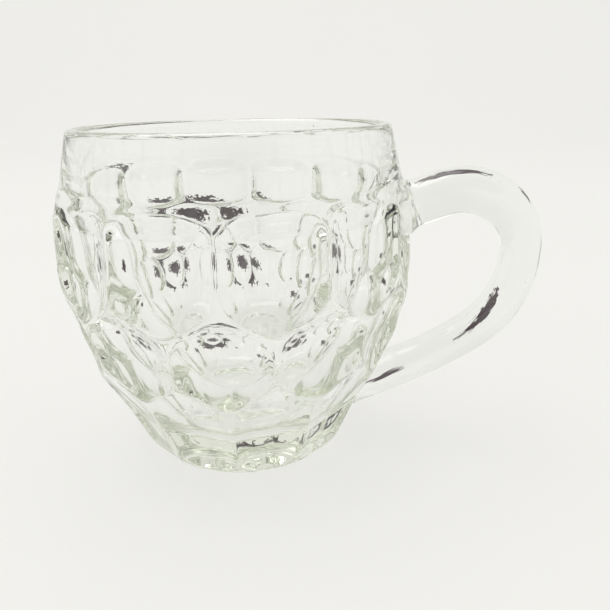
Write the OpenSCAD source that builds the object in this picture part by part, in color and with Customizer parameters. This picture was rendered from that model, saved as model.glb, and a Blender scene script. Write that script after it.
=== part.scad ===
// Dimpled glass beer mug, half-pint size, with an applied loop handle.
// Lengths are in millimetres. The mug stands on z = 0, its axis is Z and its handle points along +X.

/* [View] */
// Piece to show

/* [Body] */
// Height from the table to the top of the lip
height = 87; // [70:1:130]
// Outside diameter at the widest ring of ridges
belly_diameter = 92; // [70:0.5:140]
// Distance from the top of the lip down to the widest ring
belly_drop = 29; // [20:0.5:45]
// Radius of the barrel curve, seen from the side
belly_curve = 75; // [55:1:120]
// Distance that the outside just under the lip stands in from the widest ring
rim_inset = 6.2; // [0:0.1:15]
// Distance from the top of the lip down to where the shoulder leaves the barrel curve
shoulder_drop = 18.8; // [14:0.1:30]
// Distance from the top of the lip down to where the shoulder meets the plain top band
band_height = 12.9; // [8:0.1:24]
// How much wider the plain band is at the shoulder than at the lip, on the radius
band_flare = 2.7; // [0:0.1:6]
// Slope of the foot below the barrel curve, in degrees from upright
foot_slope = 26; // [10:0.5:40]
// Slight crease between the barrel curve and the foot, in degrees
foot_crease = 2; // [1:0.5:5]
// Rounding of the heel
heel_radius = 11; // [2:0.5:16]

/* [Inside] */
// Thickness of the lip
lip_thickness = 3.1; // [2:0.1:6]
// Thickness of glass between the widest ring and the cavity
wall_thickness = 7; // [5:0.1:14]
// Distance from the top of the lip down to the widest part of the cavity
cavity_drop = 26; // [15:1:40]
// Side curve of the cavity below its widest part
cavity_curve = 80; // [60:1:160]
// Height of the cavity floor above the table
floor_height = 13; // [6:0.5:25]
// Rounding between the cavity wall and its floor
floor_radius = 14; // [4:1:20]

/* [Underside] */
// Width of the flat ring that the mug stands on
foot_ring_width = 2.7; // [1:0.1:8]
// Depth of the hollow in the middle of the underside
push_up_depth = 2; // [0.5:0.1:5]

/* [Dimples] */
// Dimples in each row
dimple_count = 12; // [8:1:16]
// Radius of the dimple surface in the two large rows
dimple_curve = 34; // [20:1:60]
// Radius of the flute surface round the foot
flute_curve = 60; // [30:1:90]
// Distance from the top of the lip down to the middle of the top row
top_row_drop = 27.8; // [20:0.1:40]
// Distance from the middle of the top row down to the middle of the second
second_row_drop = 20.1; // [12:0.1:30]
// Distance from the middle of the second row down to the middle of the foot flutes
flute_row_drop = 22.7; // [12:0.1:35]
// Depth of the top row below the barrel surface
top_row_depth = 4.6; // [2:0.1:8]
// Depth of the second row
second_row_depth = 4.3; // [2:0.1:8]
// Depth of the foot flutes
flute_row_depth = 2.3; // [1:0.1:6]

/* [Handle] */
// Thickness of the handle rod where it leaves the top weld
top_thickness = 11.8; // [7:0.1:18]
// Thickness of the rod in the top bend
bend_thickness = 12.4; // [7:0.1:18]
// Thickness of the rod at its farthest point
side_thickness = 10.4; // [7:0.1:18]
// Thickness of the rod at the lower weld
lower_thickness = 11.4; // [7:0.1:18]
// Width of the rod across, as a share of its thickness
width_share = 1.08; // [0.8:0.01:1.5]
// Distance from the widest ring out to the rod centre at its farthest point
handle_stand_off = 29.6; // [20:0.1:60]
// Distance from the top of the lip down to that farthest point
handle_drop = 33.9; // [20:0.1:60]
// Upward slope of the top arm, in degrees
top_arm_slope = 18; // [0:1:40]
// Radius of the top bend
top_bend_radius = 16.6; // [10:0.1:40]
// Radius of the bend below the farthest point
side_bend_radius = 28; // [15:0.5:60]
// Turn of that bend, in degrees
side_bend_turn = 57; // [30:1:80]
// Radius of the long sweep of the lower arm
lower_sweep_radius = 110; // [60:5:200]
// Turn of that sweep, in degrees
lower_sweep_turn = 11; // [4:1:30]
// Distance that the top rod end goes in from the widest ring, before it is shaped to the glass
top_end_depth = 13; // [8:1:20]
// Distance that the rounded lower rod end goes in from the widest ring, before it is shaped
lower_end_depth = 20; // [12:1:26]
// Distance in from the widest ring to the middle of the top weld
top_weld_depth = 2.2; // [0:0.1:5]
// Flare all round where the hot rod was pressed on to the wall
weld_flare = 1.4; // [0.5:0.1:5]
// Length of the rod over which the flare dies away
weld_length = 4; // [1:0.1:10]
// Length over which the lower end is rounded off
lower_end_length = 7; // [2:0.1:12]

/* [Hidden] */
$fn = 200;
full_turn = 360;
half_turn = full_turn / 2;
quarter_turn = 90;
dimple_step = full_turn / dimple_count;
half_step = dimple_step / 2;
belly_radius = belly_diameter / 2;
rim_radius = belly_radius - rim_inset;
cavity_radius = belly_radius - wall_thickness;
lip_radius = lip_thickness / 2;
belly_height = height - belly_drop;
cavity_height = height - cavity_drop;
overlap = height / 20;

// The barrel curve runs down to the sloping foot, which it meets in a slight crease.
curve_centre = belly_radius - belly_curve;
foot_turn = foot_slope + foot_crease;
foot_top_height = belly_height - belly_curve * sin(foot_turn);
foot_top_radius = curve_centre + belly_curve * cos(foot_turn);
foot_edge_radius = foot_top_radius - foot_top_height * tan(foot_slope);
foot_square_height = belly_height - belly_curve * sin(foot_slope);
blend_height = belly_curve * sin(foot_crease) / 2;
heel_run = heel_radius * tan(quarter_turn / 2 - foot_slope / 2);
heel_centre = foot_edge_radius - heel_run;

// Round stretches are a trace larger than their fillets, so that they meet their neighbours cleanly.
trace_share = 1.002;

// The shoulder slopes in from the barrel curve to the plain band, and runs on a little inside it.
shoulder_overrun_share = 0.25;
shoulder_start = height - shoulder_drop;
shoulder_rise = shoulder_start - belly_height;
shoulder_radius = curve_centre + sqrt(belly_curve * belly_curve - shoulder_rise * shoulder_rise);
band_foot = height - band_height;
band_foot_radius = rim_radius + band_flare;
shoulder_run = (shoulder_radius - band_foot_radius) / (band_foot - shoulder_start);
shoulder_end = band_foot + overlap * shoulder_overrun_share;
lip_height = height - lip_radius;
lip_centre = rim_radius - lip_radius;
band_run = band_flare / (lip_height - band_foot);

// The lip is a trace thicker than the wall under it, inside and out.
lip_tuck_share = 0.1;
lip_tuck = lip_radius * lip_tuck_share;
mouth_radius = lip_centre - lip_radius + lip_tuck;
neck_rise = lip_height - cavity_height;
neck_inset = cavity_radius - mouth_radius;
neck_curve = (neck_rise * neck_rise + neck_inset * neck_inset) / (neck_inset * 2);

// The cavity floor is rounded into the cavity wall.
cavity_centre = cavity_radius - cavity_curve;
corner_height = floor_height + floor_radius;
corner_reach = cavity_curve - floor_radius;
corner_rise = cavity_height - corner_height;
corner_centre = cavity_centre + sqrt(corner_reach * corner_reach - corner_rise * corner_rise);
corner_angle = asin(corner_rise / corner_reach);

// The rows of dimples are hung from the lip.
top_row_height = height - top_row_drop;
second_row_height = top_row_height - second_row_drop;
flute_row_height = second_row_height - flute_row_drop;

// The hollow under the mug is a shallow cap of a large ball, cut flat in the middle.
push_up_radius = heel_centre - foot_ring_width;
uncut_cap_share = 1.05;
push_up_cap = push_up_depth * uncut_cap_share;
push_up_ball = (push_up_radius * push_up_radius + push_up_cap * push_up_cap) / (push_up_cap * 2);

// The rod centre in the plane of the handle: arm, top bend, side bend, long sweep, arm.
handle_reach = belly_radius + handle_stand_off;
handle_reach_height = height - handle_drop;
top_end_reach = belly_radius - top_end_depth;
lower_end_reach = belly_radius - lower_end_depth;
radian = half_turn / PI;
bend_share = 0.4;
top_bend_centre = handle_reach - top_bend_radius;
top_arm_x = top_bend_centre - top_bend_radius * sin(top_arm_slope);
top_arm_z = handle_reach_height + top_bend_radius * cos(top_arm_slope);
top_arm_length = (top_arm_x - top_end_reach) / cos(top_arm_slope);
top_bend_end = top_arm_length + top_bend_radius * (quarter_turn + top_arm_slope) / radian;
top_bend_middle = top_arm_length + (top_bend_end - top_arm_length) * bend_share;
side_bend_centre = handle_reach - side_bend_radius;
side_bend_end = top_bend_end + side_bend_radius * side_bend_turn / radian;
side_end_x = side_bend_centre + side_bend_radius * cos(side_bend_turn);
side_end_z = handle_reach_height - side_bend_radius * sin(side_bend_turn);
sweep_centre_x = side_end_x - lower_sweep_radius * cos(side_bend_turn);
sweep_centre_z = side_end_z + lower_sweep_radius * sin(side_bend_turn);
sweep_end = side_bend_end + lower_sweep_radius * lower_sweep_turn / radian;
sweep_end_turn = side_bend_turn + lower_sweep_turn;
lower_arm_x = sweep_centre_x + lower_sweep_radius * cos(sweep_end_turn);
lower_arm_z = sweep_centre_z - lower_sweep_radius * sin(sweep_end_turn);
lower_arm_slope = quarter_turn - sweep_end_turn;
lower_arm_length = (lower_arm_x - lower_end_reach) / cos(lower_arm_slope);
rod_length = sweep_end + lower_arm_length;
top_weld_at = (top_end_depth - top_weld_depth) / cos(top_arm_slope);
rod_rings = 84;
rod_sides = 28;
tip_share = 0.15;

glass = [0.86, 0.92, 0.86, 0.45];
handle_glass = [0.8, 0.9, 0.84, 0.6];

// Outline of the outside before the dimples are pressed in, without the lip.
module outside_outline() {
    intersection() {
        translate([curve_centre, belly_height]) circle(r = belly_curve);
        polygon([
            [0, foot_top_height - blend_height],
            [on_shoulder(foot_top_height - blend_height), foot_top_height - blend_height],
            [on_shoulder(shoulder_end), shoulder_end],
            [0, shoulder_end]
        ]);
    }
    difference() {
        polygon([
            [0, 0],
            [foot_edge_radius, 0],
            [foot_top_radius + blend_height * tan(foot_slope), foot_top_height + blend_height],
            [0, foot_top_height + blend_height]
        ]);
        rounded_off(heel_centre, heel_radius, heel_radius, foot_slope, -overlap);
    }
    polygon([
        [0, band_foot - overlap],
        [on_band(band_foot - overlap), band_foot - overlap],
        [on_band(lip_height) - lip_tuck, lip_height],
        [0, lip_height]
    ]);
}

// Radius of the shoulder's slope, carried on both ways, at a height.
function on_shoulder(z) = shoulder_radius - (z - shoulder_start) * shoulder_run;

// Radius of the plain band, carried on below the shoulder, at a height.
function on_band(z) = rim_radius + (lip_height - z) * band_run;

// The sharp corner that a rounded edge does not have, to the right of and below the round's centre.
module rounded_off(centre_x, centre_z, radius, turn_down, bottom) {
    difference() {
        polygon([
            [centre_x, bottom],
            [centre_x + radius * 2, bottom],
            [centre_x + radius * cos(turn_down), centre_z - radius * sin(turn_down)],
            [centre_x, centre_z]
        ]);
        translate([centre_x, centre_z]) circle(r = radius * trace_share);
    }
}

// Outline of the room for the drink, carried on past the lip.
module cavity_outline() {
    difference() {
        intersection() {
            translate([cavity_centre, cavity_height]) circle(r = cavity_curve);
            translate([0, floor_height]) square([belly_diameter, cavity_height - floor_height]);
        }
        rounded_off(corner_centre, corner_height, floor_radius, corner_angle, floor_height - overlap);
    }
    intersection() {
        translate([cavity_radius - neck_curve, cavity_height]) circle(r = neck_curve);
        translate([0, cavity_height]) square([belly_diameter, height]);
    }
}

// Places its ball against the barrel: turned down by an angle, and moved down along the surface.
module against_barrel(turn_down, slide, ball, depth) {
    translate([curve_centre, 0, belly_height])
        rotate([0, turn_down, 0])
            translate([belly_curve + ball - depth, 0, -slide])
                sphere(r = ball);
}

module top_dimple() {
    against_barrel(asin((belly_height - top_row_height) / belly_curve), 0, dimple_curve, top_row_depth);
}

module second_dimple() {
    against_barrel(asin((belly_height - second_row_height) / belly_curve), 0, dimple_curve, second_row_depth);
}

module foot_flute() {
    down = (foot_square_height - flute_row_height) / cos(foot_slope);
    against_barrel(foot_slope, down, flute_curve, flute_row_depth);
}

// Presses the given dimples of each row into the solid that it is given.
module press_dimples(steps) {
    difference() {
        children();
        for (step = steps) {
            rotate([0, 0, step * dimple_step + half_step]) top_dimple();
            rotate([0, 0, step * dimple_step]) second_dimple();
            rotate([0, 0, step * dimple_step + half_step]) foot_flute();
        }
    }
}

// The hollow under the mug, as the side of the large ball that makes it.
module push_up_outline() {
    intersection() {
        translate([0, push_up_cap - push_up_ball]) circle(r = push_up_ball);
        translate([0, -overlap]) square([belly_diameter, push_up_depth + overlap]);
    }
}

module bowl() {
    color(glass)
        press_dimples([0 : dimple_count - 1])
            rotate_extrude() {
                difference() {
                    outside_outline();
                    cavity_outline();
                    push_up_outline();
                }
                translate([lip_centre, lip_height]) circle(r = lip_radius);
            }
}

// Point of the rod centre at a distance along a bend, with the rod heading there.
function on_bend(centre_x, centre_z, radius, heading, distance) =
    let (now = heading - distance / radius * radian)
    [centre_x - radius * sin(now), centre_z + radius * cos(now), now];

// Point of the rod centre at a distance along a straight that runs through a given point.
function on_arm(x, z, heading, distance) =
    [x + distance * cos(heading), z + distance * sin(heading), heading];

// Point and heading of the rod centre at a distance from its top end.
function on_rod(at) =
    at < top_arm_length ? on_arm(top_arm_x, top_arm_z, top_arm_slope, at - top_arm_length)
    : at < top_bend_end ?
        on_bend(top_bend_centre, handle_reach_height, top_bend_radius, top_arm_slope, at - top_arm_length)
    : at < side_bend_end ?
        on_bend(side_bend_centre, handle_reach_height, side_bend_radius, -quarter_turn, at - top_bend_end)
    : at < sweep_end ?
        on_bend(sweep_centre_x, sweep_centre_z, lower_sweep_radius, -quarter_turn - side_bend_turn, at - side_bend_end)
    : on_arm(lower_arm_x, lower_arm_z, -quarter_turn - sweep_end_turn, at - sweep_end);

// Extra half thickness near a weld, dying away with the distance from it.
function flare(beyond) = weld_flare * pow(1 - min(max(beyond / weld_length, 0), 1), 2);

// Share of the full thickness left by the rounded lower end, at a distance from that end.
function end_share(from_end) =
    let (short = 1 - min(from_end / lower_end_length, 1))
    sqrt(max(1 - short * short, tip_share * tip_share));

function half_thickness(at) =
    lookup(at, [
        [0, top_thickness],
        [top_bend_middle, bend_thickness],
        [top_bend_end, side_thickness],
        [rod_length, lower_thickness]
    ]) / 2
    * end_share(rod_length - at) + flare(at - top_weld_at);

// Ring of corners round the rod at a distance from its top end.
function rod_ring(at) =
    let (here = on_rod(at), reach = half_thickness(at))
    [
        for (side = [0 : rod_sides - 1])
            let (turn = full_turn * side / rod_sides, out = reach * cos(turn))
            [
                here[0] - out * sin(here[2]),
                reach * width_share * sin(turn),
                here[1] + out * cos(here[2])
            ]
    ];

module rod() {
    corners = [for (ring = [0 : rod_rings]) each rod_ring(rod_length * ring / rod_rings)];
    walls = [
        for (ring = [0 : rod_rings - 1], side = [0 : rod_sides - 1])
            let (
                here = ring * rod_sides,
                next = (side + 1) % rod_sides
            )
            each [
                [here + side, here + rod_sides + side, here + next],
                [here + next, here + rod_sides + side, here + rod_sides + next]
            ]
    ];
    top_end = [for (side = [0 : rod_sides - 1]) side];
    lower_end = [for (side = [1 : rod_sides]) rod_rings * rod_sides + rod_sides - side];
    polyhedron(points = corners, faces = concat(walls, [top_end, lower_end]));
}

module handle() {
    color(handle_glass)
        difference() {
            rod();
            press_dimples([-1 : 1]) rotate_extrude() outside_outline();
        }
}

bowl();
handle();
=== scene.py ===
import math

import bmesh
import bpy
import numpy as np
from mathutils import Matrix, Vector


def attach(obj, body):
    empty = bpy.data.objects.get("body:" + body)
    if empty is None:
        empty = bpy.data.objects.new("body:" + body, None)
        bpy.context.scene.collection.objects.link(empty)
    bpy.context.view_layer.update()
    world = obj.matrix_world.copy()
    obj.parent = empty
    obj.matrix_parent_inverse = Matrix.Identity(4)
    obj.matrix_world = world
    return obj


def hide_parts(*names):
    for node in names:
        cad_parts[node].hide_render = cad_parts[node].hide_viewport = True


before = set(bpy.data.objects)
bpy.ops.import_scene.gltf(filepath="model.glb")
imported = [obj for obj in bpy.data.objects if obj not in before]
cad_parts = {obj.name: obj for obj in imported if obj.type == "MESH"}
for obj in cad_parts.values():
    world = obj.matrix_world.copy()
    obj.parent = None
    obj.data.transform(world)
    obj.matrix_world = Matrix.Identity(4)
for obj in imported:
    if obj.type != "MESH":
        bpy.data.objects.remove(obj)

bl_info = {
    "name": "Dimpled glass mug",
    "version": (1, 0, 0),
    "blender": (4, 5, 0),
    "location": "View3D > Sidebar > Mug",
    "description": "Builds a dimpled half-pint glass mug, its loop handle and a pale studio",
    "category": "Add Mesh",
}

MM = 0.001
FULL_TURN = 2 * math.pi
QUARTER_TURN = math.pi / 2

# Longest mesh steps along the outline of the body, and points on each of its bends
SIDE_STEP = 0.6 * MM
BAND_STEP = 1.5 * MM
FLOOR_STEP = 3 * MM
RING_STEP = 1 * MM
HEEL_POINTS = 16
SHOULDER_POINTS = 7
LIP_POINTS = 20
NECK_POINTS = 12
WALL_POINTS = 28
CORNER_POINTS = 20
HOLLOW_POINTS = 12

# Dimples: where they fade out, how far their ridges lie below the barrel, and how square their corners are
FOOT_FADE_START = 0.6 * MM
FOOT_FADE_END = 4.5 * MM
BAND_FADE = 1.6 * MM
RIDGE_DEPTH = 0.15 * MM
CORNER_POWER = 4

# Rod of the handle: its thickest place in the top bend, its waves, and the rings that close its ends
THICKEST_SHARE = 0.4
SHORT_WAVE = 5.3 * MM
LONG_WAVE = 8.9 * MM
WAVE_SHIFT = 1
WELD_TRIES = 240
CAP_SHARES = (0.08, 0.25, 0.42, 0.58, 0.72, 0.84, 0.93)

# Sockets of a Mix node when it blends colours
BLEND_FACTOR = 0
BLEND_FIRST = 6
BLEND_SECOND = 7
BLEND_RESULT = 2

FINISH_GROUP = "pressed_glass_finish"
RIPPLE_HEIGHT = 0.4 * MM


def length(name, description, millimetres):
    return bpy.props.FloatProperty(
        name=name, description=description, default=millimetres * MM, min=0, unit="LENGTH", precision=5
    )


def angle(name, description, degrees):
    return bpy.props.FloatProperty(
        name=name, description=description, default=math.radians(degrees), unit="ROTATION"
    )


def share(name, description, default):
    return bpy.props.FloatProperty(
        name=name, description=description, default=default, min=0, soft_max=1, subtype="FACTOR"
    )


def number(name, description, default, least, most):
    return bpy.props.FloatProperty(name=name, description=description, default=default, min=least, max=most)


def whole_number(name, description, default, least, most):
    return bpy.props.IntProperty(name=name, description=description, default=default, min=least, max=most)


def colour(name, description, default):
    return bpy.props.FloatVectorProperty(
        name=name, description=description, default=default, size=3, min=0, max=1, subtype="COLOR"
    )


class MugBody(bpy.types.PropertyGroup):
    height: length("Height", "Table to the top of the lip", 87)
    rim_radius: length("Rim radius", "Outside radius just under the lip", 39.8)
    belly_radius: length("Belly radius", "Outside radius at the widest ring of ridges", 46)
    belly_height: length("Belly height", "Height of the widest ring", 58)
    belly_curve: length("Belly curve", "Radius of the barrel curve seen from the side", 75)
    shoulder_start: length("Shoulder start", "Height at which the shoulder leaves the barrel curve", 68.2)
    band_foot: length("Band foot", "Height at which the shoulder meets the plain top band", 74.1)
    band_flare: length("Band flare", "How much wider the band is at the shoulder than at the lip", 2.7)
    shoulder_round: length("Shoulder rounding", "Reach of the soft bends at both ends of the shoulder", 1.1)
    foot_slope: angle("Foot slope", "Slope of the foot from upright", 26)
    foot_crease: angle("Foot crease", "Crease between the barrel curve and the foot", 2)
    heel_radius: length("Heel radius", "Rounding of the heel", 11)
    push_up_radius: length("Hollow radius", "Radius of the hollow under the mug", 16.5)
    push_up_depth: length("Hollow depth", "Depth of the hollow under the mug", 2)
    lip_thickness: length("Lip thickness", "Thickness of the rounded lip", 3.1)
    cavity_radius: length("Cavity radius", "Radius of the cavity at its widest", 39)
    cavity_height: length("Cavity height", "Height of the widest part of the cavity", 61)
    cavity_curve: length("Cavity curve", "Side curve of the cavity below its widest part", 80)
    floor_height: length("Floor height", "Height of the cavity floor", 13)
    floor_radius: length("Floor radius", "Rounding between the cavity wall and floor", 14)
    top_row_height: length("Top row height", "Height of the middle of the top dimples", 59.2)
    top_row_depth: length("Top row depth", "Depth of the top dimples", 4.4)
    top_row_rise: length("Top row rise", "Reach of the top dimples above their middle", 14.3)
    second_row_height: length("Second row height", "Height of the middle of the second row", 39.1)
    second_row_depth: length("Second row depth", "Depth of the second row", 4.0)
    flute_height: length("Flute height", "Height of the middle of the foot flutes", 16.4)
    flute_depth: length("Flute depth", "Depth of the foot flutes", 2.2)
    flute_curve: length("Flute curve", "Upright curve of the foot flutes", 75)
    dimple_fullness: number("Dimple fullness", "2 for round hollows, and more for flatter ones", 2.5, 1.5, 4)
    ridge_round: length("Ridge rounding", "Softness of the ridges between dimples", 0.22)
    dimples: whole_number("Dimples", "Dimples in each row", 12, 6, 24)
    steps_per_dimple: whole_number("Steps per dimple", "Mesh steps round the mug for each dimple", 32, 8, 60)


class MugHandle(bpy.types.PropertyGroup):
    top_thickness: length("Top thickness", "Thickness of the rod at the top weld", 11.8)
    bend_thickness: length("Bend thickness", "Thickness of the rod in the top bend", 12.4)
    side_thickness: length("Side thickness", "Thickness of the rod at its farthest point", 10.4)
    lower_thickness: length("Lower thickness", "Thickness of the rod at the lower weld", 11.4)
    width_share: share("Width share", "Width of the rod across, as a share of its thickness", 1.08)
    reach: length("Reach", "Mug axis to the rod centre at its farthest", 75.6)
    reach_height: length("Reach height", "Height of the farthest point", 53.1)
    top_arm_slope: angle("Top arm slope", "Upward slope of the top arm", 18)
    top_bend_radius: length("Top bend radius", "Radius of the top bend", 16.6)
    side_bend_radius: length("Side bend radius", "Radius of the bend below the farthest point", 28)
    side_bend_turn: angle("Side bend turn", "Turn of that bend", 57)
    sweep_radius: length("Sweep radius", "Radius of the long sweep of the lower arm", 110)
    sweep_turn: angle("Sweep turn", "Turn of that sweep", 11)
    top_end_reach: length("Top end reach", "Mug axis to the top rod end", 33)
    lower_end_reach: length("Lower end reach", "Mug axis to the lower rod end", 26)
    top_weld_reach: length("Top weld reach", "Mug axis to the middle of the top weld", 43.8)
    weld_flare: length("Weld flare", "Flare where the hot rod was pressed on", 1.4)
    weld_length: length("Weld length", "Length over which the flare dies away", 4)
    sunk: length("Sunk", "How far the rod ends sit inside the glass of the body", 0.2)
    waviness: length("Waviness", "Unevenness of the hand-drawn rod", 0.12)
    sides: whole_number("Sides", "Mesh steps round the rod", 56, 12, 96)
    rings: whole_number("Rings", "Mesh steps along the rod", 190, 40, 400)


class MugGlass(bpy.types.PropertyGroup):
    tint: colour("Tint", "Colour of light that has passed through the glass", (0.64, 0.695, 0.5))
    tint_density: number("Tint density", "Strength of the tint for each metre of glass", 9, 0, 1000)
    refraction: number("Refraction", "Index of refraction of the glass", 1.52, 1, 2.5)


class MugStudio(bpy.types.PropertyGroup):
    floor_colour: colour("Floor colour", "Colour of the seamless floor", (0.9, 0.895, 0.865))
    sky_strength: share("Sky strength", "Strength of the soft light all round", 0.94)
    paper_glow: share("Paper glow", "Share of the paper that camera and glass see without shade", 0.8)
    lens: number("Lens", "Focal length in millimetres", 34.68, 10, 200)
    distance: length("Camera distance", "Camera to the mug axis, along the floor", 155)
    camera_height: length("Camera height", "Height of the camera", 93)
    around: angle("Camera angle", "Turn of the camera about the mug, from the front", 6.41)
    down: angle("Camera tilt", "Tilt of the camera below level", 19.47)
    aside: angle("Camera aside", "Turn of the camera past the mug axis", 6.45)
    roll: angle("Camera roll", "Roll of the camera", -1.02)


# Outline of the body, as distance from the axis and height

def arc(centre, radius, start, end, count):
    """Points on an arc about a centre, from one angle above level to another."""
    turns = np.linspace(start, end, count)
    return np.column_stack([centre[0] + radius * np.cos(turns), centre[1] + radius * np.sin(turns)])


def line(start, end, step):
    """Points on a straight, no further apart than the step."""
    start = np.array(start)
    end = np.array(end)
    count = max(2, math.ceil(np.linalg.norm(end - start) / step) + 1)
    return np.linspace(start, end, count)


def fillet(start, corner, end, count):
    """Points on a soft bend that starts and ends along the two sides of a corner."""
    along = np.linspace(0, 1, count)[:, None]
    start, corner, end = (np.array(point) for point in (start, corner, end))
    return (1 - along) ** 2 * start + 2 * along * (1 - along) * corner + along ** 2 * end


def barrel_radius(body, height):
    """Radius of the barrel curve at a height."""
    rise = height - body.belly_height
    return body.belly_radius - body.belly_curve + math.sqrt(body.belly_curve ** 2 - rise ** 2)


def on_shoulder(body, height):
    """Point of the shoulder's slope at a height."""
    top = body.rim_radius + body.band_flare
    bottom = barrel_radius(body, body.shoulder_start)
    along = (height - body.shoulder_start) / (body.band_foot - body.shoulder_start)
    return bottom + (top - bottom) * along, height


def on_band(body, height):
    """Point of the plain band at a height."""
    lip_height = body.height - body.lip_thickness / 2
    along = (lip_height - height) / (lip_height - body.band_foot)
    return body.rim_radius + body.band_flare * along, height


def outside_outline(body):
    """Outer side from the heel's flat up to the plain band: the part that the dimples are pressed into."""
    turn = body.foot_slope + body.foot_crease
    foot_top = body.belly_height - body.belly_curve * math.sin(turn)
    foot_top_radius = body.belly_radius - body.belly_curve + body.belly_curve * math.cos(turn)
    foot_edge = foot_top_radius - foot_top * math.tan(body.foot_slope)
    heel_middle = foot_edge - body.heel_radius * math.tan(QUARTER_TURN / 2 - body.foot_slope / 2)
    heel_centre = (heel_middle, body.heel_radius)
    heel = arc(heel_centre, body.heel_radius, -QUARTER_TURN, -body.foot_slope, HEEL_POINTS)
    foot = line(heel[-1], (foot_top_radius, foot_top), SIDE_STEP)
    bend = body.shoulder_round
    barrel_end = body.shoulder_start - bend
    end_turn = math.asin((barrel_end - body.belly_height) / body.belly_curve)
    count = math.ceil((turn + end_turn) * body.belly_curve / SIDE_STEP)
    centre = (body.belly_radius - body.belly_curve, body.belly_height)
    barrel = arc(centre, body.belly_curve, -turn, end_turn, count)
    corner = (barrel_radius(body, body.shoulder_start), body.shoulder_start)
    slope_start = on_shoulder(body, body.shoulder_start + bend)
    slope_end = on_shoulder(body, body.band_foot - bend)
    upper_bend = fillet(barrel[-1], corner, slope_start, SHOULDER_POINTS)
    slope = line(slope_start, slope_end, SIDE_STEP)
    band_corner = on_band(body, body.band_foot)
    lower_bend = fillet(slope_end, band_corner, on_band(body, body.band_foot + bend), SHOULDER_POINTS)
    return np.vstack([heel, foot[1:-1], barrel, upper_bend[1:], slope[1:], lower_bend[1:]])


def band_outline(body):
    """Plain band up to the lip, and the lip."""
    lip_radius = body.lip_thickness / 2
    lip_height = body.height - lip_radius
    start = on_band(body, body.band_foot + body.shoulder_round)
    band = line(start, (body.rim_radius, lip_height), BAND_STEP)
    lip = arc((body.rim_radius - lip_radius, lip_height), lip_radius, 0, math.pi, LIP_POINTS)
    return np.vstack([band[1:-1], lip])


def inside_outline(body):
    """Cavity wall from under the lip down to the middle of the floor."""
    lip_height = body.height - body.lip_thickness / 2
    neck_rise = lip_height - body.cavity_height
    neck_inset = body.cavity_radius - (body.rim_radius - body.lip_thickness)
    neck_curve = (neck_rise ** 2 + neck_inset ** 2) / (2 * neck_inset)
    neck_turn = math.asin(neck_rise / neck_curve)
    neck = arc((body.cavity_radius - neck_curve, body.cavity_height), neck_curve, neck_turn, 0, NECK_POINTS)
    corner_height = body.floor_height + body.floor_radius
    reach = body.cavity_curve - body.floor_radius
    rise = body.cavity_height - corner_height
    wall_centre = body.cavity_radius - body.cavity_curve
    corner_centre = wall_centre + math.sqrt(reach ** 2 - rise ** 2)
    corner_turn = math.asin(rise / reach)
    wall = arc((wall_centre, body.cavity_height), body.cavity_curve, 0, -corner_turn, WALL_POINTS)
    corner_middle = (corner_centre, corner_height)
    corner = arc(corner_middle, body.floor_radius, -corner_turn, -QUARTER_TURN, CORNER_POINTS)
    base = line(corner[-1], (0, body.floor_height), FLOOR_STEP)
    return np.vstack([neck[1:], wall[1:], corner[1:], base[1:]])


def underside_outline(body, edge):
    """Hollow under the mug and the ring that the mug stands on."""
    ball = (body.push_up_radius ** 2 + body.push_up_depth ** 2) / (2 * body.push_up_depth)
    spread = math.asin(body.push_up_radius / ball)
    hollow = arc((0, body.push_up_depth - ball), ball, QUARTER_TURN, QUARTER_TURN - spread, HOLLOW_POINTS)
    return np.vstack([hollow, line(hollow[-1], (edge, 0), RING_STEP)[1:-1]])


# Dimples

def soft_least(values, softness):
    """Least of several arrays, rounded where two of them meet."""
    least = np.min(values, axis=0)
    return least - softness * np.log(sum(np.exp((least - value) / softness) for value in values))


def smooth_step(values, low, high):
    """Eased rise from 0 at the low value to 1 at the high one."""
    along = np.clip((values - low) / (high - low), 0, 1)
    return along * along * (3 - 2 * along)


def six_sided(sideways, upward):
    """Distance from the middle of a dimple, level along a soft hexagon with upright sides."""
    slanted = math.sin(math.radians(60))
    first = np.abs(sideways) ** CORNER_POWER
    second = np.abs(sideways / 2 + upward * slanted) ** CORNER_POWER
    third = np.abs(sideways / 2 - upward * slanted) ** CORNER_POWER
    at_side = 1 + 2 * 0.5 ** CORNER_POWER
    return ((first + second + third) / at_side) ** (1 / CORNER_POWER)


def flat_topped(sideways, upward, half_width, rise):
    """Distance from the middle of a top dimple, whose upper half is nearly square."""
    scaled = upward * half_width / rise
    return (np.abs(sideways) ** CORNER_POWER + np.abs(scaled) ** CORNER_POWER) ** (1 / CORNER_POWER)


def round_axis(points):
    """Angle round the axis, distance from it and height of each point."""
    return np.arctan2(points[:, 1], points[:, 0]), np.hypot(points[:, 0], points[:, 1]), points[:, 2]


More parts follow.
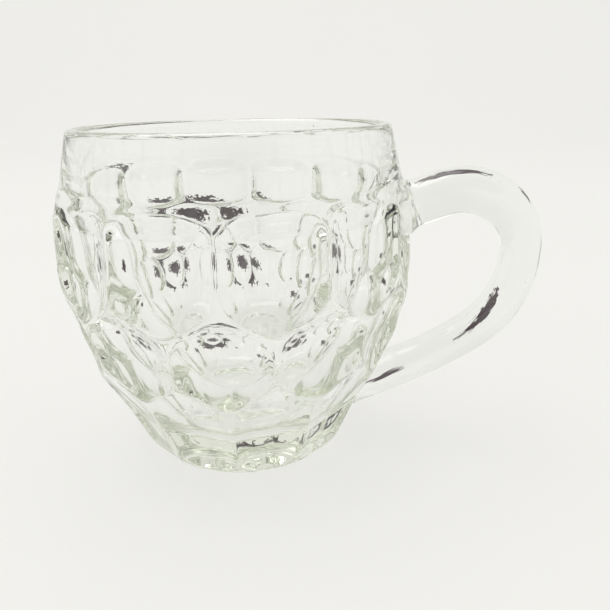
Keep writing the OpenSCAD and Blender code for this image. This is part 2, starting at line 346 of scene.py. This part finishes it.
class BodySurface:
    """The dimpled outer side: how far it lies from the axis at any angle and height."""

    def __init__(self, body):
        self.body = body
        outline = outside_outline(body)
        self.radii = outline[:, 0]
        self.heights = outline[:, 1]
        runs = np.hypot(np.diff(self.radii), np.diff(self.heights))
        self.along = np.concatenate([[0], np.cumsum(runs)])
        self.slopes = np.arctan2(np.gradient(self.radii), np.gradient(self.heights))
        upper = np.clip(self.heights, body.belly_height, None)
        carried_on = np.array([barrel_radius(body, height) for height in upper])
        self.recess = np.where(self.heights > body.belly_height, carried_on - self.radii, 0)
        self.step = FULL_TURN / body.dimples

    def at(self, heights, table):
        return np.interp(heights, self.heights, table)

    def row(self, around, heights, middle, offset):
        """Sideways and upward distances from the nearest dimple of a row, and half its width."""
        turned = around - offset
        nearest = turned - self.step * np.round(turned / self.step)
        half_width = float(self.at(middle, self.radii)) * self.step / 2
        sideways = nearest / (self.step / 2) * half_width
        upward = self.at(heights, self.along) - float(self.at(middle, self.along))
        return sideways, upward, half_width

    def top_hollow(self, sideways, upward, half_width):
        """Top dimple: six-sided below its middle and nearly square above it."""
        squared = flat_topped(sideways, upward, half_width, self.body.top_row_rise)
        far = np.where(upward < 0, six_sided(sideways, upward), squared)
        return self.body.top_row_depth * ((far / half_width) ** self.body.dimple_fullness - 1)

    def second_hollow(self, sideways, upward, half_width):
        """Dimple of the second row."""
        far = six_sided(sideways, upward)
        return self.body.second_row_depth * ((far / half_width) ** self.body.dimple_fullness - 1)

    def flute_hollow(self, sideways, upward, half_width):
        """Upright flute of the foot."""
        trough = self.body.flute_depth * ((sideways / half_width) ** 2 - 1)
        return trough + upward ** 2 / (2 * self.body.flute_curve)

    def depth(self, around, heights):
        """Depth of the dimples below the barrel at each angle and height."""
        body = self.body
        rows = (
            (body.top_row_height, self.step / 2, self.top_hollow),
            (body.second_row_height, 0, self.second_hollow),
            (body.flute_height, self.step / 2, self.flute_hollow),
        )
        recess = self.at(heights, self.recess)
        surfaces = [np.zeros_like(heights)]
        for middle, offset, hollow in rows:
            across, upward, half_width = self.row(around, heights, middle, offset)
            for sideways in (across, 2 * half_width - np.abs(across)):
                surfaces.append(hollow(sideways, upward, half_width) - RIDGE_DEPTH + recess)
        depth = -soft_least(surfaces, body.ridge_round)
        band = 1 - smooth_step(heights, body.band_foot - BAND_FADE, body.band_foot)
        return depth * smooth_step(heights, FOOT_FADE_START, FOOT_FADE_END) * band

    def press(self, points):
        """Moves points of the plain barrel in to the dimpled surface."""
        around, radii, heights = round_axis(points)
        depth = self.depth(around, heights)
        slope = self.at(heights, self.slopes)
        radii = radii - depth * np.cos(slope)
        heights = heights + depth * np.sin(slope)
        return np.column_stack([radii * np.cos(around), radii * np.sin(around), heights])

    def beyond(self, points):
        """How far points lie outside the dimpled surface, and less than zero inside it."""
        around, radii, heights = round_axis(points)
        slope = self.at(heights, self.slopes)
        surface = self.at(heights, self.radii) - self.depth(around, heights) / np.cos(slope)
        return (radii - surface) * np.cos(slope)


# Meshes

def add_object(name, data):
    """Object in the scene's own collection."""
    item = bpy.data.objects.new(name, data)
    bpy.context.scene.collection.objects.link(item)
    return item


def add_mesh(name, builder, material, smooth):
    """Object made from a filled bmesh, with one material."""
    mesh = bpy.data.meshes.new(name)
    builder.to_mesh(mesh)
    builder.free()
    mesh.materials.append(material)
    for face in mesh.polygons:
        face.use_smooth = smooth
    return add_object(name, mesh)


def new_piece(name, builder, material, node):
    """Piece of the mug with its one material, hung under the root, with the CAD node that it stands in for
    hidden.
    """
    piece = add_mesh(name, builder, material, True)
    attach(piece, "root")
    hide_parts(node)


def build_body_mesh(body):
    """One sector of the body is spun and pressed, and then repeated round the axis."""
    outer = outside_outline(body)
    under = underside_outline(body, outer[0, 0])
    outline = np.vstack([under, outer, band_outline(body), inside_outline(body)])
    sector = FULL_TURN / body.dimples
    solid = bmesh.new()
    corners = [solid.verts.new((radius, 0, height)) for radius, height in outline]
    edges = [solid.edges.new(pair) for pair in zip(corners, corners[1:])]
    axis = {"axis": (0, 0, 1), "cent": (0, 0, 0)}
    bmesh.ops.spin(solid, geom=corners + edges, angle=sector, steps=body.steps_per_dimple, **axis)
    surface = BodySurface(body)
    vertices = list(solid.verts)
    points = np.array([vertex.co for vertex in vertices])
    off_outline = 0.3 * MM
    above_ring = 0.1 * MM
    overrun = 0.01 * MM
    radii, heights = round_axis(points)[1:]
    near = np.abs(radii - surface.at(heights, surface.radii)) < off_outline
    pressed = near & (heights > above_ring) & (heights < surface.heights[-1] + overrun)
    moved = surface.press(points[pressed])
    for index, place in zip(np.flatnonzero(pressed), moved):
        vertices[index].co = Vector(place)
    whole = list(solid.verts) + list(solid.edges) + list(solid.faces)
    rest = body.dimples - 1
    bmesh.ops.spin(solid, geom=whole, angle=sector * rest, steps=rest, use_duplicate=True, **axis)
    bmesh.ops.remove_doubles(solid, verts=solid.verts, dist=MM / 1000)
    bmesh.ops.recalc_face_normals(solid, faces=solid.faces)
    return solid


class RodPath:
    """Centre line of the handle rod: arm, top bend, side bend, long sweep and lower arm."""

    def __init__(self, handle):
        self.handle = handle
        bend_x = handle.reach - handle.top_bend_radius
        arm_x = bend_x - handle.top_bend_radius * math.sin(handle.top_arm_slope)
        arm_z = handle.reach_height + handle.top_bend_radius * math.cos(handle.top_arm_slope)
        self.arm_end = (arm_x, arm_z)
        self.arm_length = (arm_x - handle.top_end_reach) / math.cos(handle.top_arm_slope)
        self.top_centre = (bend_x, handle.reach_height)
        self.top_bend_end = self.arm_length + handle.top_bend_radius * (QUARTER_TURN + handle.top_arm_slope)
        self.thickest = self.arm_length + (self.top_bend_end - self.arm_length) * THICKEST_SHARE
        self.side_centre = (handle.reach - handle.side_bend_radius, handle.reach_height)
        self.side_bend_end = self.top_bend_end + handle.side_bend_radius * handle.side_bend_turn
        side_x = self.side_centre[0] + handle.side_bend_radius * math.cos(handle.side_bend_turn)
        side_z = handle.reach_height - handle.side_bend_radius * math.sin(handle.side_bend_turn)
        sweep_x = side_x - handle.sweep_radius * math.cos(handle.side_bend_turn)
        sweep_z = side_z + handle.sweep_radius * math.sin(handle.side_bend_turn)
        self.sweep_centre = (sweep_x, sweep_z)
        self.sweep_end = self.side_bend_end + handle.sweep_radius * handle.sweep_turn
        last_turn = handle.side_bend_turn + handle.sweep_turn
        lower_x = sweep_x + handle.sweep_radius * math.cos(last_turn)
        lower_z = sweep_z - handle.sweep_radius * math.sin(last_turn)
        self.lower_start = (lower_x, lower_z)
        self.lower_heading = -QUARTER_TURN - last_turn
        lower_slope = QUARTER_TURN - last_turn
        self.length = self.sweep_end + (lower_x - handle.lower_end_reach) / math.cos(lower_slope)
        self.weld_at = (handle.top_weld_reach - handle.top_end_reach) / math.cos(handle.top_arm_slope)

    def straight(self, start, heading, distance):
        """Place and heading on a straight, at a distance past its start."""
        return start[0] + distance * math.cos(heading), start[1] + distance * math.sin(heading), heading

    def bend(self, centre, radius, heading, distance):
        """Place and heading on a downward bend, at a distance past its start."""
        now = heading - distance / radius
        return centre[0] - radius * math.sin(now), centre[1] + radius * math.cos(now), now

    def at(self, distance):
        """Place and heading of the rod centre at a distance from its top end."""
        handle = self.handle
        if distance < self.arm_length:
            return self.straight(self.arm_end, handle.top_arm_slope, distance - self.arm_length)
        if distance < self.top_bend_end:
            turned = distance - self.arm_length
            return self.bend(self.top_centre, handle.top_bend_radius, handle.top_arm_slope, turned)
        if distance < self.side_bend_end:
            turned = distance - self.top_bend_end
            return self.bend(self.side_centre, handle.side_bend_radius, -QUARTER_TURN, turned)
        if distance < self.sweep_end:
            turned = distance - self.side_bend_end
            heading = -QUARTER_TURN - handle.side_bend_turn
            return self.bend(self.sweep_centre, handle.sweep_radius, heading, turned)
        return self.straight(self.lower_start, self.lower_heading, distance - self.sweep_end)

    def half_thickness(self, distance):
        """Half the rod's thickness, with the flare at the top weld and the waves of a hand-drawn rod."""
        handle = self.handle
        stops = [0, self.thickest, self.top_bend_end, self.length]
        sizes = [handle.top_thickness, handle.bend_thickness, handle.side_thickness, handle.lower_thickness]
        flare = max(0, 1 - max(0, distance - self.weld_at) / handle.weld_length) ** 2
        wave = math.sin(distance / SHORT_WAVE) + math.sin(distance / LONG_WAVE + WAVE_SHIFT)
        return np.interp(distance, stops, sizes) / 2 + handle.weld_flare * flare + handle.waviness * wave / 2

    def point(self, distance, turn, out):
        """Point of the rod at a distance along, a turn round it, and a share of its half thickness out."""
        x, z, heading = self.at(distance)
        reach = self.half_thickness(distance) * out
        lift = reach * math.cos(turn)
        across = reach * self.handle.width_share * math.sin(turn)
        return x - lift * math.sin(heading), across, z + lift * math.cos(heading)


def weld_distance(path, surface, turn, out, from_top):
    """Distance along the rod at which one of its lines meets the body, less the part sunk in."""
    middle = (path.arm_length + path.top_bend_end) / 2 if from_top else path.sweep_end
    end = 0 if from_top else path.length
    distances = np.linspace(middle, end, WELD_TRIES)
    points = np.array([path.point(distance, turn, out) for distance in distances])
    beyond = surface.beyond(points) + path.handle.sunk
    inside = np.flatnonzero(beyond < 0)
    if len(inside) == 0:
        return end
    first = max(inside[0], 1)
    part = beyond[first - 1] / (beyond[first - 1] - beyond[first])
    return distances[first - 1] + part * (distances[first] - distances[first - 1])


def cap_ring(path, surface, turns, out, from_top):
    """Ring of a rod end, shaped to the body, at a share of the rod's half thickness out."""
    ring = []
    for turn in turns:
        distance = weld_distance(path, surface, turn, out, from_top)
        ring.append(path.point(distance, turn, out))
    return ring


def rod_rings(handle, body):
    """All rings of the rod, from the middle of its top end to the middle of its lower end."""
    path = RodPath(handle)
    surface = BodySurface(body)
    turns = [FULL_TURN * side / handle.sides for side in range(handle.sides)]
    starts = [weld_distance(path, surface, turn, 1, True) for turn in turns]
    ends = [weld_distance(path, surface, turn, 1, False) for turn in turns]
    rings = [cap_ring(path, surface, turns, out, True) for out in CAP_SHARES]
    for ring in range(handle.rings + 1):
        along = ring / handle.rings
        places = [start + (end - start) * along for start, end in zip(starts, ends)]
        rings.append([path.point(distance, turn, 1) for distance, turn in zip(places, turns)])
    rings += [cap_ring(path, surface, turns, out, False) for out in reversed(CAP_SHARES)]
    return rings


def build_handle_mesh(handle, body):
    """Rod drawn ring by ring, with both ends shaped to the body's dimples."""
    rings = rod_rings(handle, body)
    rod = bmesh.new()
    loop = list(bmesh.ops.create_circle(rod, segments=handle.sides, radius=MM, cap_ends=True)["verts"])
    for vertex, place in zip(loop, rings[0]):
        vertex.co = place
    edges = [rod.edges.get((loop[index - 1], loop[index])) for index in range(handle.sides)]
    for ring in rings[1:]:
        made = bmesh.ops.extrude_edge_only(rod, edges=edges)["geom"]
        new_edges = [item for item in made if isinstance(item, bmesh.types.BMEdge)]
        new_verts = {item for item in made if isinstance(item, bmesh.types.BMVert)}
        drawn = []
        for old in loop:
            neighbours = [edge.other_vert(old) for edge in old.link_edges]
            drawn.append(next(vertex for vertex in neighbours if vertex in new_verts))
        loop = drawn
        for vertex, place in zip(loop, ring):
            vertex.co = place
        loop_verts = set(loop)
        edges = [edge for edge in new_edges if loop_verts.issuperset(edge.verts)]
    bmesh.ops.contextual_create(rod, geom=edges)
    bmesh.ops.recalc_face_normals(rod, faces=rod.faces)
    return rod


# Materials

def add_node(tree, kind, place, inputs=None, **settings):
    """Node with its settings made, and each input given either a link or a value."""
    node = tree.nodes.new(kind)
    node.location = place
    for name, value in settings.items():
        setattr(node, name, value)
    for socket, value in (inputs or {}).items():
        if isinstance(value, bpy.types.NodeSocket):
            tree.links.new(value, node.inputs[socket])
        else:
            node.inputs[socket].default_value = value
    return node


def add_math(tree, operation, place, first, second):
    """Result of a Math node with two inputs."""
    node = add_node(tree, "ShaderNodeMath", place, {0: first, 1: second}, operation=operation)
    return node.outputs[0]


def add_blend(tree, place, factor, first, second):
    """Result of a Mix node that blends two colours."""
    inputs = {BLEND_FACTOR: factor, BLEND_FIRST: first, BLEND_SECOND: second}
    return add_node(tree, "ShaderNodeMix", place, inputs, data_type="RGBA").outputs[BLEND_RESULT]


def glass_finish_group():
    """Ripples, seeds, smears and foot wear of pressed glass, from a place on the object."""
    chill_weight = 0.012
    scuff_roughness = 0.45
    clear = (1, 1, 1, 1)
    faintly_green = (0.985, 0.995, 0.985, 1)
    seed_colour = (0.3, 0.32, 0.28, 1)
    group = bpy.data.node_groups.new(FINISH_GROUP, "ShaderNodeTree")
    add_socket = group.interface.new_socket
    add_socket("Place", in_out="INPUT", socket_type="NodeSocketVector")
    settings = {
        "Ripple Scale": 55,
        "Smear Scale": 38,
        "Smear Roughness": 0.03,
        "Foot Height": 0.9 * MM,
        "Seed Size": 0.03,
    }
    for name, value in settings.items():
        add_socket(name, in_out="INPUT", socket_type="NodeSocketFloat").default_value = value
    add_socket("Colour", in_out="OUTPUT", socket_type="NodeSocketColor")
    add_socket("Roughness", in_out="OUTPUT", socket_type="NodeSocketFloat")
    add_socket("Height", in_out="OUTPUT", socket_type="NodeSocketFloat")
    given = add_node(group, "NodeGroupInput", (-900, 0)).outputs
    place = given["Place"]

    ripple = add_node(group, "ShaderNodeTexNoise", (-600, 300), {
        "Vector": place, "Scale": given["Ripple Scale"], "Detail": 1.5, "Roughness": 0.35,
    })
    chill = add_node(group, "ShaderNodeTexNoise", (-600, 80), {"Vector": place, "Scale": 420, "Detail": 2})
    weighed = add_math(group, "MULTIPLY", (-380, 80), chill.outputs["Fac"], chill_weight)
    height = add_math(group, "ADD", (-180, 250), ripple.outputs["Fac"], weighed)

    smear = add_node(group, "ShaderNodeTexNoise", (-600, -160), {
        "Vector": place, "Scale": given["Smear Scale"], "Detail": 5, "Distortion": 0.8,
    })
    smeared = add_node(group, "ShaderNodeMapRange", (-380, -160), {
        "Value": smear.outputs["Fac"], "From Min": 0.55, "From Max": 0.75,
        "To Max": given["Smear Roughness"],
    })
    parts = add_node(group, "ShaderNodeSeparateXYZ", (-600, -420), {0: place})
    worn = add_math(group, "LESS_THAN", (-380, -420), parts.outputs["Z"], given["Foot Height"])
    scratches = add_node(group, "ShaderNodeTexNoise", (-600, -620), {
        "Vector": place, "Scale": 900, "Detail": 4,
    })
    scuffed = add_math(group, "MULTIPLY", (-380, -620), scratches.outputs["Fac"], scuff_roughness)
    foot_wear = add_math(group, "MULTIPLY", (-180, -500), worn, scuffed)
    roughness = add_math(group, "ADD", (80, -250), smeared.outputs[0], foot_wear)

    tone = add_blend(group, (80, 0), ripple.outputs["Fac"], faintly_green, clear)
    specks = add_node(group, "ShaderNodeTexVoronoi", (-600, 560), {"Vector": place, "Scale": 90})
    seeded = add_math(group, "LESS_THAN", (-380, 560), specks.outputs["Distance"], given["Seed Size"])
    speckled = add_blend(group, (300, 200), seeded, tone, seed_colour)
    results = {"Colour": speckled, "Roughness": roughness, "Height": height}
    add_node(group, "NodeGroupOutput", (700, 0), results)
    return group


def finish_group():
    """The finish that both glass materials share, made the first time it is asked for."""
    return bpy.data.node_groups.get(FINISH_GROUP) or glass_finish_group()


def glass_material(name, look, ripple_scale, ripple_strength, seed_size):
    """Clear pressed glass with a faint olive tint in its depth."""
    material = bpy.data.materials.new(name)
    material.use_nodes = True
    tree = material.node_tree
    tree.nodes.clear()
    place = add_node(tree, "ShaderNodeTexCoord", (-900, 0))
    finish = add_node(tree, "ShaderNodeGroup", (-650, 0), {
        "Place": place.outputs["Object"], "Ripple Scale": ripple_scale, "Seed Size": seed_size,
    }, node_tree=finish_group()).outputs
    bump = add_node(tree, "ShaderNodeBump", (-350, -250), {
        "Strength": ripple_strength, "Distance": RIPPLE_HEIGHT, "Height": finish["Height"],
    })
    shader = add_node(tree, "ShaderNodeBsdfPrincipled", (-50, 0), {
        "Transmission Weight": 1, "IOR": look.refraction, "Base Color": finish["Colour"],
        "Roughness": finish["Roughness"], "Normal": bump.outputs["Normal"],
    })
    depth = add_node(tree, "ShaderNodeVolumeAbsorption", (-50, -450), {
        "Color": (*look.tint, 1), "Density": look.tint_density,
    })
    add_node(tree, "ShaderNodeOutputMaterial", (300, 0), {
        "Surface": shader.outputs[0], "Volume": depth.outputs[0],
    })
    return material


# Studio

def paper_material(studio):
    """Matt seamless paper with a faint mottle, which camera and glass see partly without its shade."""
    dull_share = 0.985
    material = bpy.data.materials.new("seamless_paper")
    material.use_nodes = True
    tree = material.node_tree
    place = add_node(tree, "ShaderNodeTexCoord", (-900, 0))
    mottle = add_node(tree, "ShaderNodeTexNoise", (-650, 0), {"Vector": place.outputs["Object"], "Scale": 6})
    duller = (*[part * dull_share for part in studio.floor_colour], 1)
    tone = add_blend(tree, (-350, 0), mottle.outputs["Fac"], duller, (*studio.floor_colour, 1))
    shader = tree.nodes["Principled BSDF"]
    shader.inputs["Roughness"].default_value = 0.9
    shader.inputs["Specular IOR Level"].default_value = 0.1
    tree.links.new(tone, shader.inputs["Base Color"])
    plain_tone = add_node(tree, "ShaderNodeEmission", (100, -300), {"Color": tone})
    ray = add_node(tree, "ShaderNodeLightPath", (-650, 400)).outputs
    seen = add_math(tree, "MAXIMUM", (-450, 400), ray["Is Camera Ray"], ray["Is Glossy Ray"])
    shown = add_math(tree, "MAXIMUM", (-250, 400), seen, ray["Is Transmission Ray"])
    glow = add_math(tree, "MULTIPLY", (-50, 400), shown, studio.paper_glow)
    inputs = {0: glow, 1: shader.outputs[0], 2: plain_tone.outputs[0]}
    mixed = add_node(tree, "ShaderNodeMixShader", (350, 0), inputs)
    tree.links.new(mixed.outputs[0], tree.nodes["Material Output"].inputs["Surface"])
    return material


def build_backdrop(studio):
    """Floor that curves up into a wall far behind the mug."""
    bend = 0.5
    bend_steps = 24
    back = 1.4
    front = -2.2
    half_width = 2.6
    wall_height = 2.2
    outline = [(front, 0), (back - bend, 0)]
    for step in range(1, bend_steps + 1):
        turn = QUARTER_TURN * step / bend_steps
        outline.append((back - bend + bend * math.sin(turn), bend - bend * math.cos(turn)))
    outline.append((back, wall_height))
    sweep = bmesh.new()
    corners = [sweep.verts.new((-half_width, y, z)) for y, z in outline]
    edges = [sweep.edges.new(pair) for pair in zip(corners, corners[1:])]
    made = bmesh.ops.extrude_edge_only(sweep, edges=edges)["geom"]
    moved = [item for item in made if isinstance(item, bmesh.types.BMVert)]
    bmesh.ops.translate(sweep, vec=(2 * half_width, 0, 0), verts=moved)
    bmesh.ops.recalc_face_normals(sweep, faces=sweep.faces)
    add_mesh("backdrop", sweep, paper_material(studio), True)


def dark_card_material():
    """Plum-black felt with a ragged, torn edge."""
    card_centre = (0.5, 0.5, 0)
    wear_outwards = -0.9
    material = bpy.data.materials.new("dark_card")
    material.use_nodes = True
    tree = material.node_tree
    place = add_node(tree, "ShaderNodeTexCoord", (-900, 0)).outputs
    torn = add_node(tree, "ShaderNodeTexNoise", (-650, -200), {
        "Vector": place["Object"], "Scale": 150, "Detail": 4,
    })
    inputs = {0: place["UV"], 1: card_centre}
    outward = add_node(tree, "ShaderNodeVectorMath", (-650, -450), inputs, operation="DISTANCE")
    inputs = {0: outward.outputs["Value"], 1: wear_outwards, 2: torn.outputs["Fac"]}
    left_over = add_node(tree, "ShaderNodeMath", (-400, -300), inputs, operation="MULTIPLY_ADD")
    kept = add_node(tree, "ShaderNodeMapRange", (-200, -200), {
        "Value": left_over.outputs[0], "From Min": 0.1, "From Max": 0.14,
    })
    shader = tree.nodes["Principled BSDF"]
    shader.inputs["Base Color"].default_value = (0.03, 0.006, 0.015, 1)
    shader.inputs["Roughness"].default_value = 0.8
    tree.links.new(kept.outputs[0], shader.inputs["Alpha"])
    return material


def build_dark_card(name, middle, width, height, heading=0, lean=0):
    """Dark card that the camera doesn't see and that shows only in the glass."""
    card = bmesh.new()
    card.loops.layers.uv.new("UVMap")
    bmesh.ops.create_grid(card, x_segments=1, y_segments=1, size=0.5, calc_uvs=True)
    bmesh.ops.scale(card, vec=(width, height, 1), verts=card.verts)
    leaning = Matrix.Rotation(QUARTER_TURN - lean, 4, "X")
    place = Matrix.Translation(middle) @ Matrix.Rotation(heading, 4, "Z") @ leaning
    bmesh.ops.transform(card, matrix=place, verts=card.verts)
    material = bpy.data.materials.get("dark_card") or dark_card_material()
    piece = add_mesh(name, card, material, False)
    piece.visible_camera = False
    piece.visible_shadow = False
    piece.visible_diffuse = False


def build_dark_cards():
    """Cards upright behind the mug and at its left, and flat on the floor behind the handle."""
    build_dark_card("back_card", (-0.042, 0.105, 0.021), width=0.07, height=0.038)
    build_dark_card("side_card", (-0.17, -0.04, 0.01), width=0.035, height=0.02, heading=QUARTER_TURN)
    build_dark_card("loop_card", (0.103, 0.0735, 0.0015), width=0.054, height=0.046, lean=QUARTER_TURN)
    build_dark_card("weld_card", (0.043, 0.058, 0.0015), width=0.015, height=0.038, lean=QUARTER_TURN)


def build_world(studio):
    """Soft white room with a dark patch high up on the camera's side."""
    towards_patch = (0.1, -0.7, 0.7)
    white = (1, 0.995, 0.98, 1)
    dark = (0.15, 0.15, 0.16, 1)
    world = bpy.data.worlds.new("soft_room")
    world.use_nodes = True
    bpy.context.scene.world = world
    tree = world.node_tree
    tree.nodes.clear()
    towards = add_node(tree, "ShaderNodeTexCoord", (-900, 0))
    inputs = {0: towards.outputs["Generated"], 1: towards_patch}
    facing = add_node(tree, "ShaderNodeVectorMath", (-700, 0), inputs, operation="DOT_PRODUCT")
    patch = add_node(tree, "ShaderNodeMapRange", (-500, 0), {
        "Value": facing.outputs["Value"], "From Min": 0.7, "From Max": 0.95,
    }, interpolation_type="SMOOTHSTEP")
    tone = add_blend(tree, (-250, 0), patch.outputs[0], white, dark)
    sky = add_node(tree, "ShaderNodeBackground", (0, 0), {"Color": tone, "Strength": studio.sky_strength})
    add_node(tree, "ShaderNodeOutputWorld", (250, 0), {"Surface": sky.outputs[0]})


def build_lamp(name, place, aim, width, power):
    """Soft oblong lamp that faces a point."""
    depth_share = 0.7
    data = bpy.data.lights.new(name, "AREA")
    data.shape = "RECTANGLE"
    data.size = width
    data.size_y = width * depth_share
    data.energy = power
    data.color = (1, 0.99, 0.97)
    lamp = add_object(name, data)
    lamp.location = place
    lamp.rotation_euler = (Vector(aim) - Vector(place)).to_track_quat("-Z", "Y").to_euler()


def build_camera(studio):
    """Camera that sees the mug as the photograph does."""
    data = bpy.data.cameras.new("camera")
    data.sensor_width = 36
    data.lens = studio.lens
    data.clip_start = 10 * MM
    camera = add_object("camera", data)
    heading = studio.aside - studio.around
    level = math.cos(studio.down)
    forward = Vector((math.sin(heading) * level, math.cos(heading) * level, -math.sin(studio.down)))
    right = Vector((math.cos(heading), -math.sin(heading), 0))
    up = right.cross(forward)
    rolled_right = right * math.cos(studio.roll) + up * math.sin(studio.roll)
    rolled_up = up * math.cos(studio.roll) - right * math.sin(studio.roll)
    turn = Matrix((rolled_right, rolled_up, -forward)).transposed()
    x = studio.distance * math.sin(studio.around)
    y = -studio.distance * math.cos(studio.around)
    camera.matrix_world = Matrix.Translation((x, y, studio.camera_height)) @ turn.to_4x4()
    bpy.context.scene.camera = camera


# Operators

class MUG_OT_build_body(bpy.types.Operator):
    """Builds the dimpled body"""

    bl_idname = "mug.build_body"
    bl_label = "Build the body"

    def execute(self, context):
        scene = context.scene
        material = glass_material(
            "body_glass", scene.mug_glass, ripple_scale=55, ripple_strength=0.12, seed_size=0.02
        )
        new_piece("dimpled_body", build_body_mesh(scene.mug_body), material, "bowl")
        return {"FINISHED"}


class MUG_OT_build_handle(bpy.types.Operator):
    """Builds the loop handle and shapes its ends to the body"""

    bl_idname = "mug.build_handle"
    bl_label = "Build the handle"

    def execute(self, context):
        scene = context.scene
        material = glass_material(
            "handle_glass", scene.mug_glass, ripple_scale=80, ripple_strength=0.2, seed_size=0.035
        )
        rod = build_handle_mesh(scene.mug_handle, scene.mug_body)
        new_piece("loop_handle", rod, material, "handle")
        return {"FINISHED"}


class MUG_OT_build_studio(bpy.types.Operator):
    """Sets up the floor, the backdrop, the light and the camera"""

    bl_idname = "mug.build_studio"
    bl_label = "Build the studio"

    def execute(self, context):
        scene = context.scene
        studio = scene.mug_studio
        build_backdrop(studio)
        build_dark_cards()
        build_world(studio)
        build_lamp("top_softbox", place=(-0.3, 0.25, 1.3), aim=(0, 0, 0), width=1.2, power=7)
        build_camera(studio)
        scene.view_settings.view_transform = "Standard"
        scene.cycles.max_bounces = 32
        scene.cycles.transmission_bounces = 32
        scene.cycles.glossy_bounces = 12
        return {"FINISHED"}


class MUG_PT_panel(bpy.types.Panel):
    """Lists the operators and the sizes that they use"""

    bl_label = "Dimpled mug"
    bl_space_type = "VIEW_3D"
    bl_region_type = "UI"
    bl_category = "Mug"

    def draw(self, context):
        for operator in OPERATORS:
            self.layout.operator(operator.bl_idname)
        for owner in GROUPS:
            group = getattr(context.scene, owner)
            box = self.layout.box()
            for name in group.__annotations__:
                box.prop(group, name)


GROUPS = {"mug_body": MugBody, "mug_handle": MugHandle, "mug_glass": MugGlass, "mug_studio": MugStudio}
OPERATORS = (MUG_OT_build_body, MUG_OT_build_handle, MUG_OT_build_studio)


def register():
    for name, group in GROUPS.items():
        bpy.utils.register_class(group)
        setattr(bpy.types.Scene, name, bpy.props.PointerProperty(type=group))
    for operator in OPERATORS:
        bpy.utils.register_class(operator)
    bpy.utils.register_class(MUG_PT_panel)


def unregister():
    bpy.utils.unregister_class(MUG_PT_panel)
    for operator in reversed(OPERATORS):
        bpy.utils.unregister_class(operator)
    for name, group in GROUPS.items():
        delattr(bpy.types.Scene, name)
        bpy.utils.unregister_class(group)


def main():
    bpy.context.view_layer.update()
    register()
    bpy.ops.mug.build_body()
    bpy.ops.mug.build_handle()
    bpy.ops.mug.build_studio()


if __name__ == "__main__":
    main()
